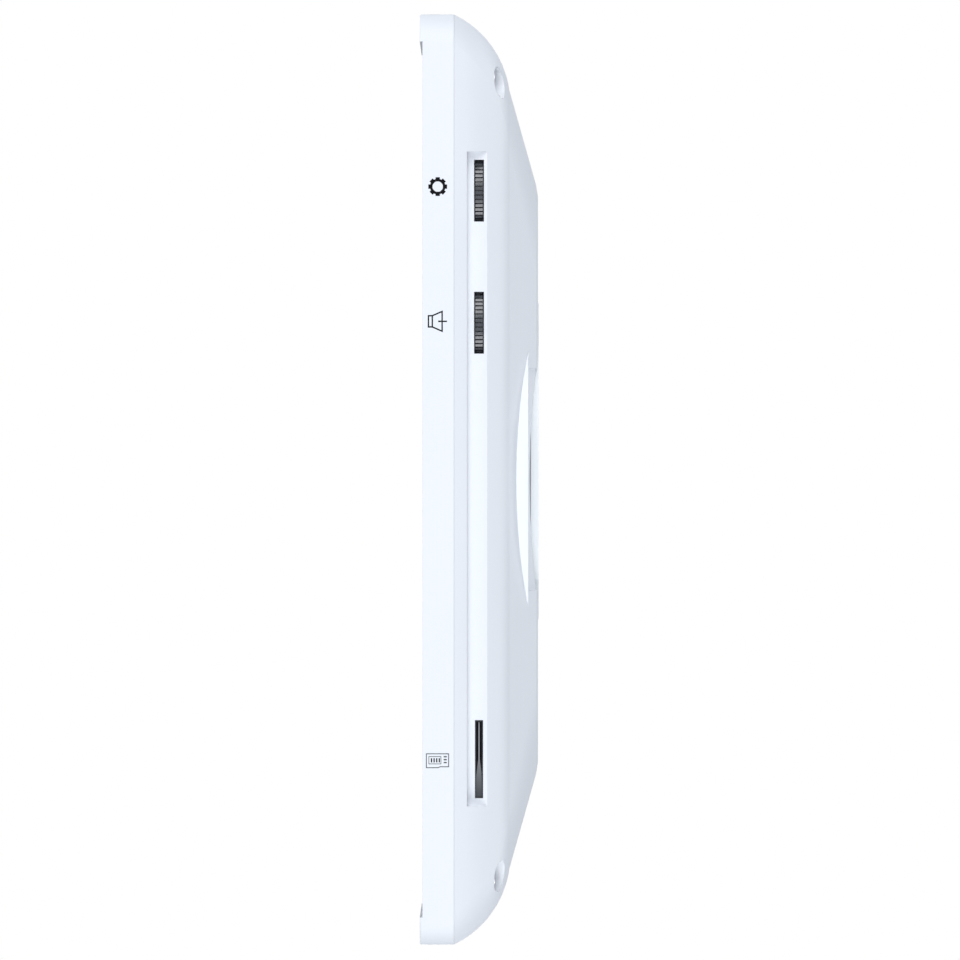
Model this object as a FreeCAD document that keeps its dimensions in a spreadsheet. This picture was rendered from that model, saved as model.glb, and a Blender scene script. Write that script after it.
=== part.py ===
import FreeCAD, Part
import math
import os
import re
import Sketcher

# A wall-hung seven-inch indoor monitor of a video doorbell.
# X runs to the right seen from the front, Z is up, and the wall is the plane Y = 0.
# Every depth below is a distance forward from the wall, so a point at depth d lies at Y = -d.

doc = FreeCAD.newDocument("doorbell_monitor")
sheet = doc.addObject("Spreadsheet::Sheet", "Sizes")

SIZES = {
    # housing
    "body_width": 226, "body_height": 143, "corner_radius": 4.6,
    "front_plane": 17.9, "lip_rise": 0.4, "lip_height": 4.2, "band_back": 13.05,
    "frame_wall": 2, "edge_round": 0.25, "part_line": 0.01, "clear_over": 5,
    "tongue_gap": 0.9, "tongue_thickness": 0.8, "tongue_reach": 0.75, "tongue_corner": 3.4,
    "dome_radius": 15, "dome_start": 25, "dome_end": 82, "flank_slope": 3.5,
    "back_plane": 0.1, "shell_wall": 2,
    # front panel and its ledge
    "panel_side_gap": 2, "panel_end_gap": 4.3, "panel_corner": 3, "panel_fit": 0.1, "panel_sink": 0.05,
    "panel_thickness": 1.6, "tape_thickness": 0.15,
    "ledge_width": 5, "ledge_thickness": 1.2,
    # housing screws
    "case_screw_x": 105, "case_screw_z": 61.05, "post_radius": 3.2, "post_back": 10.4,
    "screw_boss_radius": 4.3,
    "counterbore_radius": 2.45, "counterbore_floor": 8.4, "case_hole_radius": 1.45,
    "case_thread_radius": 1.3, "case_head_radius": 2.1, "case_head_height": 1.6, "case_screw_tip": 14,
    "drive_reach": 1.3, "drive_half": 0.3, "drive_depth": 0.8,
    "gusset_inner_x": 100.5, "gusset_outer_x": 110.5, "gusset_inner_z": 56.5, "gusset_outer_z": 68.5,
    # control strip on the right flank
    "strip_plane": 109.1, "strip_front": 11.05, "strip_rear": 7.8,
    "strip_top": 50.4, "strip_bottom": -50.2, "strip_backing_half": 52.5,
    "window_height": 9.5, "window_width": 1.5, "control_depth": 9.2,
    "settings_z": 44.4, "volume_z": 24.1,
    "wheel_radius": 7, "wheel_thickness": 1.15, "wheel_proud": 0.5, "wheel_ribs": 66,
    "rib_groove": 0.34, "axle_radius": 1, "axle_clearance": 0.05, "press_travel": 0.6,
    "card_z": -43, "card_slot_height": 12, "card_slot_width": 1.25,
    "card_path_height": 11.3, "card_path_width": 0.8, "guide_left": 102.4, "guide_half": 7.2,
    "nose_wall": 0.15, "nose_back": 107, "nose_sink": 0.25,
    "seal_sink": 0.5, "seal_rib_width": 0.25, "seal_flare_high": 0, "seal_flare_low": -2.7,
    # recess and wall bracket
    "recess_depth": 1.5, "recess_end": 89.5, "recess_radius": 46, "recess_half": 28,
    "landing_radius": 33.3, "landing_end": 97.8, "landing_front": 5.4, "notch_half": 17.1,
    "tray_margin": 2, "tray_front": 3.5,
    "plateau_round": 0.3, "plateau_blend": 1.8,
    "plate_thickness": 1.2, "plate_half": 88.5, "plate_top": 27.2, "plate_bottom": -21.6,
    "plate_taper": 11.5, "plate_straight_top": 17, "plate_straight_bottom": -11.4,
    "plate_end_radius": 44.4,
    "hook_x": 62, "hook_upper_z": 12, "hook_lower_z": -16, "hook_width": 8,
    "hook_neck": 1.2, "hook_height": 6.2, "hook_tip": 5.6, "hook_rear": 4.5,
    "lift_travel": 5.2, "slot_height": 7.6, "slot_width": 9,
    "wall_screw_x": 30.15, "wall_screw_radius": 2.1, "wall_sink_radius": 3.9,
    "outer_screw_x": 76,
    "cable_window_half": 24, "cable_window_top": 8, "cable_window_bottom": -17,
    "bay_floor": 3.4, "bay_wall": 1.4,
    # display
    "lcd_x": -18, "lcd_width": 165, "lcd_height": 100, "lcd_back": 10.6, "lcd_front": 15.65,
    "lcd_view_width": 156, "lcd_view_height": 88, "bezel_sheet": 0.4,
    "flex_half": 10, "flex_thickness": 0.2,
    # boards
    "board_half": 54, "board_top": 47, "board_bottom": -27, "board_back": 6.8, "board_front": 8.4,
    "board_screw_x": 50, "board_screw_top": 43, "board_screw_bottom": -23,
    "board_boss_radius": 2.6, "board_hole_radius": 1.4, "board_thread_radius": 1,
    "board_head_radius": 2.2, "board_head_height": 1.3, "board_screw_tip": 4.1, "side_screw_tip": 8,
    "side_board_left": 84, "side_board_right": 106.8, "side_board_half": 55.5,
    "side_board_back": 10.8, "side_board_front": 12,
    "side_screw_x": 88, "side_screw_high": 8, "side_screw_low": -24,
    "link_low": -14, "link_width": 12,
    # touch keys
    "key_x": 87, "key_top": 32, "key_pitch": 16, "key_board_left": 70, "key_board_right": 104,
    "key_board_half": 46, "light_board_half": 40, "light_board_reach": 7,
    # wheel carriers
    "carrier_reach": 6.5, "carrier_half": 6.2, "carriage_gap": 0.08, "carriage_thickness": 0.4,
    "switch_depth": 9.3, "plunger_radius": 1,
    # memory card socket
    "card_socket_left": 86.5, "card_socket_right": 102, "card_stop": 88,
    "card_socket_low": -50.4, "card_socket_high": -36.4,
    "card_channel_low": -49.9, "card_channel_high": -37.25,
    "shield_sheet": 0.18, "ejector_low": -49.8, "ejector_high": -48.75,
    "spring_left": 88.2, "spring_length": 3.2, "spring_turns": 6,
    "spring_radius": 0.2, "spring_wire": 0.06,
    # speaker
    "speaker_x": -68, "speaker_z": -44, "speaker_radius": 14, "speaker_back": 6.4,
    "speaker_front": 10.3, "magnet_radius": 7, "basket_radius": 7.4, "bowl_radius": 6.6,
    "grille_pitch": 2.9, "grille_reach": 8.8, "grille_hole_radius": 0.8,
    # wire sockets
    "socket_z": -15, "socket_back": 1.9, "socket_width": 12.4, "socket_height": 7,
    "socket_cavity_width": 10.4, "socket_cavity_height": 5, "pin_pitch": 2.5,
    "door_one_x": -15.5, "door_two_x": 0, "power_x": 14,
    "pocket_half": 23.5, "pocket_top": -10.6, "pocket_bottom": -19.4,
    # microphone
    "mic_x": 95, "mic_z": -57.8, "mic_back": 13.3, "mic_front": 15.55,
    "mic_radius": 3, "mic_boot_radius": 4, "mic_port_radius": 0.7,
}

for row, (alias, amount) in enumerate(SIZES.items(), start=1):
    sheet.set("A%d" % row, alias)
    sheet.set("B%d" % row, str(amount))
    sheet.setAlias("B%d" % row, alias)
doc.recompute()

WORDS = re.compile(r"\b(" + "|".join(sorted(SIZES, key=len, reverse=True)) + r")\b")
ALONG_DEPTH = FreeCAD.Rotation(FreeCAD.Vector(1, 0, 0), 90)
ALONG_WIDTH = FreeCAD.Rotation(FreeCAD.Vector(0, 1, 0), 90)
nodes = []


def bind(text):
    """Write the sheet's name in front of every size used in an expression."""
    return WORDS.sub(r"Sizes.\1", str(text))


def amount(text):
    """Work out an expression of named sizes as a plain number."""
    return float(sheet.evalExpression(bind(text)))


def keep(part, label):
    """Give a finished sub-part its node name and list it for export."""
    part.Label = label
    nodes.append(part)
    return part


def origin_plane(body, role):
    return next(item for item in body.Origin.OriginFeatures if item.Role == role)


def new_sketch(body, name, plane, across="0", up="0", out="0"):
    sketch = body.newObject("Sketcher::SketchObject", name)
    sketch.AttachmentSupport = (origin_plane(body, plane), [""])
    sketch.MapMode = "FlatFace"
    sketch.setExpression("AttachmentOffset.Base.x", bind(across))
    sketch.setExpression("AttachmentOffset.Base.y", bind(up))
    sketch.setExpression("AttachmentOffset.Base.z", bind(out))
    return sketch


def constrain(sketch, text, *rule):
    """Add one dimension and bind it to an expression of named sizes."""
    index = sketch.addConstraint(Sketcher.Constraint(*rule, amount(text)))
    sketch.setExpression("Constraints[%d]" % index, bind(text))


def rounded_sketch(body, name, width, height, radius, across="0", up="0", out="0"):
    """Draw a centred rectangle with rounded corners on a plane parallel to the wall."""
    sketch = new_sketch(body, name, "XZ_Plane", across, up, out)
    wide, tall, round_off = amount(width) / 2, amount(height) / 2, amount(radius)
    inner_x, inner_z = wide - round_off, tall - round_off
    corners = [(inner_x, -inner_z), (inner_x, inner_z), (-inner_x, inner_z), (-inner_x, -inner_z)]
    sides = [((-inner_x, -tall), (inner_x, -tall)), ((wide, -inner_z), (wide, inner_z)),
             ((inner_x, tall), (-inner_x, tall)), ((-wide, inner_z), (-wide, -inner_z))]
    for turn in range(4):
        first, last = sides[turn]
        sketch.addGeometry(Part.LineSegment(FreeCAD.Vector(*first, 0), FreeCAD.Vector(*last, 0)))
        circle = Part.Circle(FreeCAD.Vector(*corners[turn], 0), FreeCAD.Vector(0, 0, 1), round_off)
        start = (turn - 1) * math.pi / 2
        sketch.addGeometry(Part.ArcOfCircle(circle, start, start + math.pi / 2))
    for edge in range(8):
        sketch.addConstraint(Sketcher.Constraint("Tangent", edge, 2, (edge + 1) % 8, 1))
    sketch.addConstraint(Sketcher.Constraint("Horizontal", 0))
    sketch.addConstraint(Sketcher.Constraint("Vertical", 2))
    for arc in (3, 5, 7):
        sketch.addConstraint(Sketcher.Constraint("Equal", 1, arc))
    sketch.addConstraint(Sketcher.Constraint("Symmetric", 0, 1, 4, 1, -1, 1))
    constrain(sketch, width, "DistanceX", 6, 1, 2, 1)
    constrain(sketch, height, "DistanceY", 0, 1, 4, 1)
    constrain(sketch, radius, "Radius", 1)
    return sketch


def polygon_sketch(body, name, plane, points, out="0"):
    """Draw a closed outline whose corners are pairs of expressions."""
    sketch = new_sketch(body, name, plane, out=out)
    spots = [FreeCAD.Vector(amount(across), amount(up), 0) for across, up in points]
    count = len(spots)
    for index in range(count):
        sketch.addGeometry(Part.LineSegment(spots[index], spots[(index + 1) % count]))
    for index in range(count):
        sketch.addConstraint(Sketcher.Constraint("Coincident", index, 2, (index + 1) % count, 1))
    for index, (across, up) in enumerate(points):
        constrain(sketch, across, "DistanceX", -1, 1, index, 1)
        constrain(sketch, up, "DistanceY", -1, 1, index, 1)
    return sketch


def new_body(name):
    return doc.addObject("PartDesign::Body", name)


def pad(body, sketch, length, midplane=False):
    feature = body.newObject("PartDesign::Pad", sketch.Name + "_pad")
    feature.Profile = sketch
    if midplane:
        feature.SideType = "Symmetric"
    feature.setExpression("Length", bind(length))
    return feature


def slab(name, width, height, radius, back, front, across="0", up="0"):
    """Make a rounded rectangular plate parallel to the wall, from one depth to another."""
    body = new_body(name)
    sketch = rounded_sketch(body, name + "_outline", width, height, radius, across, up, back)
    pad(body, sketch, "(%s) - (%s)" % (front, back))
    return body


def prism(name, plane, points, length, out="0", midplane=False):
    body = new_body(name)
    sketch = polygon_sketch(body, name + "_profile", plane, points, out)
    pad(body, sketch, length, midplane)
    return body


def block(name, left, right, back, front, bottom, top):
    """Make a box from its six faces, the depths measured forward from the wall."""
    part = doc.addObject("Part::Box", name)
    part.setExpression("Length", bind("(%s) - (%s)" % (right, left)))
    part.setExpression("Width", bind("(%s) - (%s)" % (front, back)))
    part.setExpression("Height", bind("(%s) - (%s)" % (top, bottom)))
    part.setExpression("Placement.Base.x", bind(left))
    part.setExpression("Placement.Base.y", bind("-(%s)" % front))
    part.setExpression("Placement.Base.z", bind(bottom))
    return part


def rod(name, across, up, back, front, radius):
    """Make a cylinder square to the wall."""
    part = doc.addObject("Part::Cylinder", name)
    part.Placement.Rotation = ALONG_DEPTH
    part.setExpression("Radius", bind(radius))
    part.setExpression("Height", bind("(%s) - (%s)" % (front, back)))
    part.setExpression("Placement.Base.x", bind(across))
    part.setExpression("Placement.Base.y", bind("-(%s)" % back))
    part.setExpression("Placement.Base.z", bind(up))
    return part


def cone(name, across, up, back, front, back_radius, front_radius):
    part = doc.addObject("Part::Cone", name)
    part.Placement.Rotation = ALONG_DEPTH
    part.setExpression("Radius1", bind(back_radius))
    part.setExpression("Radius2", bind(front_radius))
    part.setExpression("Height", bind("(%s) - (%s)" % (front, back)))
    part.setExpression("Placement.Base.x", bind(across))
    part.setExpression("Placement.Base.y", bind("-(%s)" % back))
    part.setExpression("Placement.Base.z", bind(up))
    return part


def side_rod(name, left, right, depth, up, radius):
    """Make a cylinder along the width of the monitor."""
    part = doc.addObject("Part::Cylinder", name)
    part.Placement.Rotation = ALONG_WIDTH
    part.setExpression("Radius", bind(radius))
    part.setExpression("Height", bind("(%s) - (%s)" % (right, left)))
    part.setExpression("Placement.Base.x", bind(left))
    part.setExpression("Placement.Base.y", bind("-(%s)" % depth))
    part.setExpression("Placement.Base.z", bind(up))
    return part


def fuse(name, parts):
    joined = doc.addObject("Part::MultiFuse", name)
    joined.Shapes = parts
    return joined


def cut(name, base, tools):
    result = doc.addObject("Part::Cut", name)
    result.Base = base
    result.Tool = tools[0] if len(tools) == 1 else fuse(name + "_tools", tools)
    return result


def common(name, first, second):
    result = doc.addObject("Part::Common", name)
    result.Base = first
    result.Tool = second
    return result


def group(name, parts):
    """Hold identical separate solids, such as screws, as one sub-part."""
    result = doc.addObject("Part::Compound", name)
    result.Links = parts
    return result


def four_corners(across, up):
    """Repeat one spot in the four quarters of the housing."""
    return [("%s%s" % (side, across), "%s%s" % (level, up)) for side in ("", "-") for level in ("", "-")]


def mirrored(spot, inner, outer):
    """Give a pair of limits, low first, on the same side of the centre as a spot."""
    return ("-" + outer, "-" + inner) if spot.startswith("-") else (inner, outer)


# ---------------------------------------------------------------- front frame
frame_blank = new_body("front_frame_blank")
frame_outline = rounded_sketch(frame_blank, "front_frame_outline", "body_width", "body_height",
                               "corner_radius", out="band_back")
frame_pad = pad(frame_blank, frame_outline, "front_plane + lip_rise - band_back")
doc.recompute()


def edges_at_depth(shape, depth):
    """Name the edges that lie wholly in one plane parallel to the wall."""
    names = []
    for index, edge in enumerate(shape.Edges, start=1):
        limits = edge.BoundBox
        if abs(limits.YMin + depth) < 1e-4 and abs(limits.YMax + depth) < 1e-4:
            names.append("Edge%d" % index)
    return names


lip_edges = frame_blank.newObject("PartDesign::Fillet", "lip_edge_round")
lip_edges.Base = (frame_pad, edges_at_depth(frame_pad.Shape, amount("front_plane + lip_rise")))
lip_edges.setExpression("Radius", bind("edge_round"))
doc.recompute()

opening_width = "(body_width - 2 * panel_side_gap)"
opening_height = "(body_height - 2 * panel_end_gap)"
panel_front = "(front_plane - panel_sink)"
panel_back = "(%s - panel_thickness)" % panel_front
ledge_front = "(%s - tape_thickness)" % panel_back
lip_gap = block("lip_gap", "-body_width", "body_width", "front_plane", "front_plane + clear_over",
                "lip_height - body_height / 2", "body_height / 2 - lip_height")
panel_pocket = slab("panel_pocket", opening_width, opening_height, "panel_corner + panel_fit",
                    ledge_front, "front_plane + clear_over")
ledge_opening = slab("ledge_opening", "%s - 2 * ledge_width" % opening_width,
                     "%s - 2 * ledge_width" % opening_height, "panel_corner",
                     "0", "front_plane + clear_over")
rear_hollow = slab("rear_hollow", "body_width - 2 * frame_wall", "body_height - 2 * frame_wall",
                   "corner_radius - frame_wall + 0.2", "0", "%s - ledge_thickness" % ledge_front)
frame_shell = cut("front_frame_shell", frame_blank, [lip_gap, panel_pocket, ledge_opening, rear_hollow])
tongue_inset = "(frame_wall + tongue_gap)"
tongue_outer = slab("tongue_outer", "body_width - 2 * %s" % tongue_inset,
                    "body_height - 2 * %s" % tongue_inset, "tongue_corner",
                    "band_back - tongue_reach", "%s - 0.5" % ledge_front)
tongue_inner = slab("tongue_inner", "body_width - 2 * %s - 2 * tongue_thickness" % tongue_inset,
                    "body_height - 2 * %s - 2 * tongue_thickness" % tongue_inset,
                    "tongue_corner - tongue_thickness", "0", "front_plane")
tongue = cut("frame_tongue", tongue_outer, [tongue_inner])
frame_pieces = [frame_shell, tongue]
frame_holes = []
for number, (across, up) in enumerate(four_corners("case_screw_x", "case_screw_z")):
    left, right = mirrored(across, "gusset_inner_x", "gusset_outer_x")
    low, high = mirrored(up, "gusset_inner_z", "gusset_outer_z")
    frame_pieces.append(block("gusset_%d" % number, left, right, "%s - ledge_thickness" % ledge_front,
                              ledge_front, low, high))
    frame_pieces.append(rod("post_%d" % number, across, up, "post_back",
                            "%s - 0.5" % ledge_front, "post_radius"))
    frame_holes.append(rod("post_hole_%d" % number, across, up, "0", "case_screw_tip + 0.2",
                           "case_thread_radius + 0.04"))
keep(cut("front_frame_solid", fuse("front_frame_body", frame_pieces), frame_holes), "front_frame")

# ---------------------------------------------------------------- front panel
panel_blank = slab("panel_blank", "%s - 2 * panel_fit" % opening_width,
                   "%s - 2 * panel_fit" % opening_height, "panel_corner", panel_back, panel_front)
mic_hole = rod("panel_mic_hole", "mic_x", "mic_z", "0", "front_plane + clear_over",
               "mic_port_radius - 0.1")
keep(cut("front_panel_solid", panel_blank, [mic_hole]), "front_panel")

tape_outer = slab("tape_outer", "%s - 1" % opening_width, "%s - 1" % opening_height,
                  "panel_corner - 0.5", ledge_front, panel_back)
tape_inner = slab("tape_inner", "%s - 2 * ledge_width + 0.4" % opening_width,
                  "%s - 2 * ledge_width + 0.4" % opening_height, "panel_corner",
                  "0", "front_plane + clear_over")
keep(cut("panel_tape_solid", tape_outer, [tape_inner]), "panel_tape")

# ---------------------------------------------------------------- rear shell
DOME_STEPS = 5
DOME_ANGLES = ["dome_start + (dome_end - dome_start) * %d / %d" % (step, DOME_STEPS)
               for step in range(DOME_STEPS + 1)]
DOME_FRONT = "band_back - part_line"


def dome_inset(angle, wall):
    return ("dome_radius * cos(dome_start * 1deg) - (dome_radius - (%s)) * cos((%s) * 1deg)"
            % (wall, angle))


def dome_depth(angle, wall):
    return ("%s + dome_radius * sin(dome_start * 1deg) - (dome_radius - (%s)) * sin((%s) * 1deg)"
            % (DOME_FRONT, wall, angle))


def dome_section(body, name, angle, wall):
    inset = dome_inset(angle, wall)
    radius = "corner_radius + 0.35 * (%s) - (%s)" % (dome_inset(angle, "0"), wall)
    return rounded_sketch(body, name, "body_width - 2 * (%s)" % inset, "body_height - 2 * (%s)" % inset,
                          radius, out=dome_depth(angle, wall))


FLANK_FOOT = dome_inset("dome_end", "0")
FLANK_TOP = "%s + flank_slope * (%s - back_plane)" % (FLANK_FOOT, dome_depth("dome_end", "0"))


def domed_solid(name, wall):
    """Make the swept rear volume: a rolled edge all round, then a plateau with sloping flanks."""
    body = new_body(name)
    sections = [dome_section(body, "%s_rim_%d" % (name, number), angle, wall)
                for number, angle in enumerate(DOME_ANGLES)]
    rolled = body.newObject("PartDesign::AdditiveLoft", name + "_rolled_edge")
    rolled.Profile = sections[0]
    rolled.Sections = sections[1:]
    foot = dome_section(body, name + "_flank_foot", "dome_end", wall)
    if wall == "0":
        tops = [("%s - flank_slope * plateau_round" % FLANK_TOP, "back_plane + plateau_round"),
                ("%s - flank_slope * plateau_round + plateau_blend" % FLANK_TOP, "back_plane")]
    else:
        tops = [("%s + 0.28" % FLANK_TOP, "back_plane + %s" % wall)]
    flank = body.newObject("PartDesign::AdditiveLoft", name + "_flank")
    flank.Profile = foot
    flank.Sections = [
        rounded_sketch(body, "%s_flank_top_%d" % (name, number), "body_width - 2 * (%s)" % inset,
                       "body_height - 2 * (%s)" % inset, "13 - (%s)" % wall, out=depth)
        for number, (inset, depth) in enumerate(tops)]
    flank.Ruled = True
    doc.recompute()
    return body


def arc_ended_strip(name, radius, low, high, back, front):
    """Make a level strip whose two ends are arcs, centred midway between its low and high sides."""
    centre_x = "recess_end - recess_radius"
    centre_z = "((%s) + (%s)) / 2" % (low, high)
    ends = [rod("%s_end_%d" % (name, number), "%s * (%s)" % (side, centre_x), centre_z,
                back, front, radius) for number, side in enumerate(("1", "-1"))]
    middle = block(name + "_middle", "-(%s)" % centre_x, centre_x, back, front,
                   "%s - (%s)" % (centre_z, radius), "%s + %s" % (centre_z, radius))
    limit = block(name + "_limit", "-body_width", "body_width", back, front, low, high)
    return common(name, fuse(name + "_round", ends + [middle]), limit)


def recess_shape(name, grow, back, front):
    """Make the outline of the bracket recess, enlarged by a margin."""
    half = "(recess_half + %s)" % grow
    return arc_ended_strip(name, "(recess_radius + %s)" % grow, "-" + half, half, back, front)


outer = domed_solid("shell_outer", "0")
cavity = domed_solid("shell_cavity", "shell_wall")
recess_floor = "back_plane + recess_depth"
landings = [rod("landing_%d" % number, "%s * (landing_end - landing_radius)" % side, "0",
                recess_floor, "back_plane + landing_front", "landing_radius")
            for number, side in enumerate(("1", "-1"))]
hollow = cut("shell_hollow", fuse("shell_with_landings", [outer] + landings), [cavity])
tray_outline = recess_shape("tray_outline", "tray_margin", "back_plane", "back_plane + tray_front")
tray = common("recess_tray", tray_outline, outer)
bay_tray = block("bay_tray", "-pocket_half - bay_wall", "pocket_half + bay_wall", recess_floor,
                 "bay_floor + bay_wall", "pocket_bottom - bay_wall", "cable_window_top + bay_wall")
strip_backing = block("strip_backing", "strip_plane - shell_wall", "strip_plane", "strip_rear + 0.3",
                      "strip_front + 1.85", "-strip_backing_half", "strip_backing_half")
shell_parts = [hollow, tray, bay_tray, strip_backing]
shell_cuts = [recess_shape("recess", "0", "-5", recess_floor),
              block("strip_pocket", "strip_plane", "body_width / 2 + 4", "strip_rear", "strip_front",
                    "strip_bottom", "strip_top")]
for number, (across, up) in enumerate(four_corners("case_screw_x", "case_screw_z")):
    boss_rod = rod("screw_boss_rod_%d" % number, across, up, "0", "post_back - 0.05",
                   "screw_boss_radius")
    shell_parts.append(common("screw_boss_%d" % number, boss_rod, outer))
    shell_cuts.append(rod("counterbore_%d" % number, across, up, "-1", "counterbore_floor",
                          "counterbore_radius"))
    shell_cuts.append(rod("case_hole_%d" % number, across, up, "-1", "front_plane", "case_hole_radius"))
BOARD_SCREWS = [(side + "board_screw_x", level) for side in ("", "-")
                for level in ("board_screw_top", "board_screw_bottom")]
SIDE_SCREW_LEVELS = ("side_screw_high", "side_screw_low")
BOSSES = [(across, up, "board_back") for across, up in BOARD_SCREWS]
BOSSES += [("side_screw_x", up, "side_board_back") for up in SIDE_SCREW_LEVELS]
for number, (across, up, seat) in enumerate(BOSSES):
    shell_parts.append(rod("board_boss_%d" % number, across, up, "shell_wall - 0.1", "%s - 0.02" % seat,
                           "board_boss_radius"))
    shell_cuts.append(rod("board_boss_hole_%d" % number, across, up, "%s - 2.9" % seat, "front_plane",
                          "board_thread_radius + 0.05"))
WHEEL_X = "strip_plane + wheel_proud - wheel_radius"
WINDOW_BACK, WINDOW_FRONT = "control_depth - window_width / 2", "control_depth + window_width / 2"
for number, level in enumerate(("settings_z", "volume_z")):
    shell_cuts.append(block("window_%d" % number, "strip_plane - clear_over", "strip_plane + clear_over",
                            WINDOW_BACK, WINDOW_FRONT,
                            "%s - window_height / 2" % level, "%s + window_height / 2" % level))
    shell_cuts.append(rod("wheel_pocket_%d" % number, WHEEL_X, level, WINDOW_BACK, WINDOW_FRONT,
                          "wheel_radius + 0.5"))
shell_cuts.append(block("guide_relief", "guide_left - 2.4", "strip_plane - shell_wall",
                        "control_depth - 1.3", "strip_front + 1.75",
                        "card_z - guide_half - 0.4", "card_z + guide_half + 0.4"))


def slot_block(name, left, right, half_width, half_height):
    """Make a box centred on the memory card slot."""
    return block(name, left, right,
                 "control_depth - %s" % half_width, "control_depth + %s" % half_width,
                 "card_z - %s" % half_height, "card_z + %s" % half_height)


shell_cuts.append(slot_block("card_slot", "guide_left", "strip_plane + clear_over",
                             "card_slot_width / 2", "card_slot_height / 2"))
HOOK_SPOTS = [(side + "hook_x", level) for side in ("", "-")
              for level in ("hook_upper_z", "hook_lower_z")]
for number, (across, up) in enumerate(HOOK_SPOTS):
    slot_top = "%s + hook_neck + 0.05" % up
    shell_cuts.append(block("hook_slot_%d" % number, "%s - slot_width / 2" % across,
                            "%s + slot_width / 2" % across, "-1", "hook_tip + 0.4",
                            "%s - slot_height" % slot_top, slot_top))
shell_cuts.append(block("cable_bay", "-pocket_half", "pocket_half", "-1", "bay_floor",
                        "pocket_bottom", "cable_window_top"))
shell_cuts.append(block("connector_pocket", "-pocket_half", "pocket_half", "-1", "board_back - 0.8",
                        "pocket_bottom", "pocket_top"))


def hexagonal_grid(pitch, reach):
    """List the offsets of a hexagonal hole pattern that fits in a circle."""
    rows = int(reach / pitch) + 1
    spots = []
    for row in range(-rows, rows + 1):
        height = row * pitch * math.sqrt(3) / 2
        for column in range(-rows, rows + 1):
            across = (column + 0.5 * (row % 2)) * pitch
            if math.hypot(across, height) <= reach:
                spots.append((across, height))
    return spots


grille_spots = hexagonal_grid(amount("grille_pitch"), amount("grille_reach"))
grille = [rod("grille_hole_%d" % number, "speaker_x + (%.3f)" % across, "speaker_z + (%.3f)" % up,
              "-1", "speaker_back", "grille_hole_radius")
          for number, (across, up) in enumerate(grille_spots)]
shell_cuts.extend(grille)
for number, side in enumerate(("1", "-1")):
    set_back = "body_width / 2 - (%s) - 1" % FLANK_TOP
    shell_cuts.append(prism("flank_notch_%d" % number, "XY_Plane", [
        ("%s * (%s)" % (side, set_back), "-back_plane"),
        ("%s * (%s + flank_slope * recess_depth)" % (side, set_back), "-(%s)" % recess_floor),
        ("%s * body_width / 2" % side, "-(%s)" % recess_floor),
        ("%s * body_width / 2" % side, "3"),
        ("%s * (%s)" % (side, set_back), "3")], "2 * notch_half", midplane=True))
keep(cut("rear_shell_solid", fuse("rear_shell_body", shell_parts), shell_cuts), "rear_shell")

# ---------------------------------------------------------------- housing screws


def case_screw(name, across, up):
    """Make a pan-head screw entering from the back, with a cross recess in its head."""
    head_back = "(counterbore_floor - case_head_height)"
    head = rod(name + "_head", across, up, head_back, "counterbore_floor", "case_head_radius")
    shank = rod(name + "_shank", across, up, "counterbore_floor - 0.2", "case_screw_tip",
                "case_thread_radius")
    arms = [block("%s_drive_%d" % (name, number),
                  "%s - %s" % (across, half_wide), "%s + %s" % (across, half_wide),
                  "%s - 1" % head_back, "%s + drive_depth" % head_back,
                  "%s - %s" % (up, half_tall), "%s + %s" % (up, half_tall))
            for number, (half_wide, half_tall) in enumerate(
                (("drive_reach", "drive_half"), ("drive_half", "drive_reach")))]
    return cut(name, fuse(name + "_body", [head, shank]), arms)


keep(group("case_screw_group", [
    case_screw("case_screw_%d" % number, across, up)
    for number, (across, up) in enumerate(four_corners("case_screw_x", "case_screw_z"))]),
    "case_screws")

# ---------------------------------------------------------------- wall bracket
plate_outline = prism("bracket_outline", "XZ_Plane", [
    ("-plate_half", "plate_straight_bottom"), ("-plate_half + plate_taper", "plate_bottom"),
    ("plate_half - plate_taper", "plate_bottom"), ("plate_half", "plate_straight_bottom"),
    ("plate_half", "plate_straight_top"), ("plate_half - plate_taper", "plate_top"),
    ("-plate_half + plate_taper", "plate_top"), ("-plate_half", "plate_straight_top")],
    "plate_thickness")
plate = common("bracket_plate", plate_outline, arc_ended_strip(
    "bracket_ends", "plate_end_radius", "plate_bottom", "plate_top", "0", "plate_thickness"))
bracket_parts = [plate]
bracket_cuts = [block("cable_window", "-cable_window_half", "cable_window_half", "-1", "3",
                      "cable_window_bottom", "cable_window_top")]
for number, (across, up) in enumerate(HOOK_SPOTS):
    left, right = "%s - hook_width / 2" % across, "%s + hook_width / 2" % across
    bracket_parts.append(block("hook_neck_%d" % number, left, right, "0", "hook_tip",
                               up, "%s + hook_neck" % up))
    bracket_parts.append(block("hook_tongue_%d" % number, left, right, "hook_rear", "hook_tip", up,
                               "%s + hook_height" % up))
    bracket_cuts.append(block("hook_window_%d" % number, left, right, "-1", "2", "%s + hook_neck" % up,
                              "%s + hook_neck + 9" % up))
for number, across in enumerate(("wall_screw_x", "-wall_screw_x", "outer_screw_x", "-outer_screw_x")):
    bracket_cuts.append(rod("wall_hole_%d" % number, across, "0", "-1", "3", "wall_screw_radius"))
    bracket_cuts.append(cone("wall_sink_%d" % number, across, "0", "0.6", "plate_thickness + 0.001",
                             "wall_screw_radius", "wall_sink_radius"))
keep(cut("wall_bracket_solid", fuse("wall_bracket_body", bracket_parts), bracket_cuts), "wall_bracket")

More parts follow.
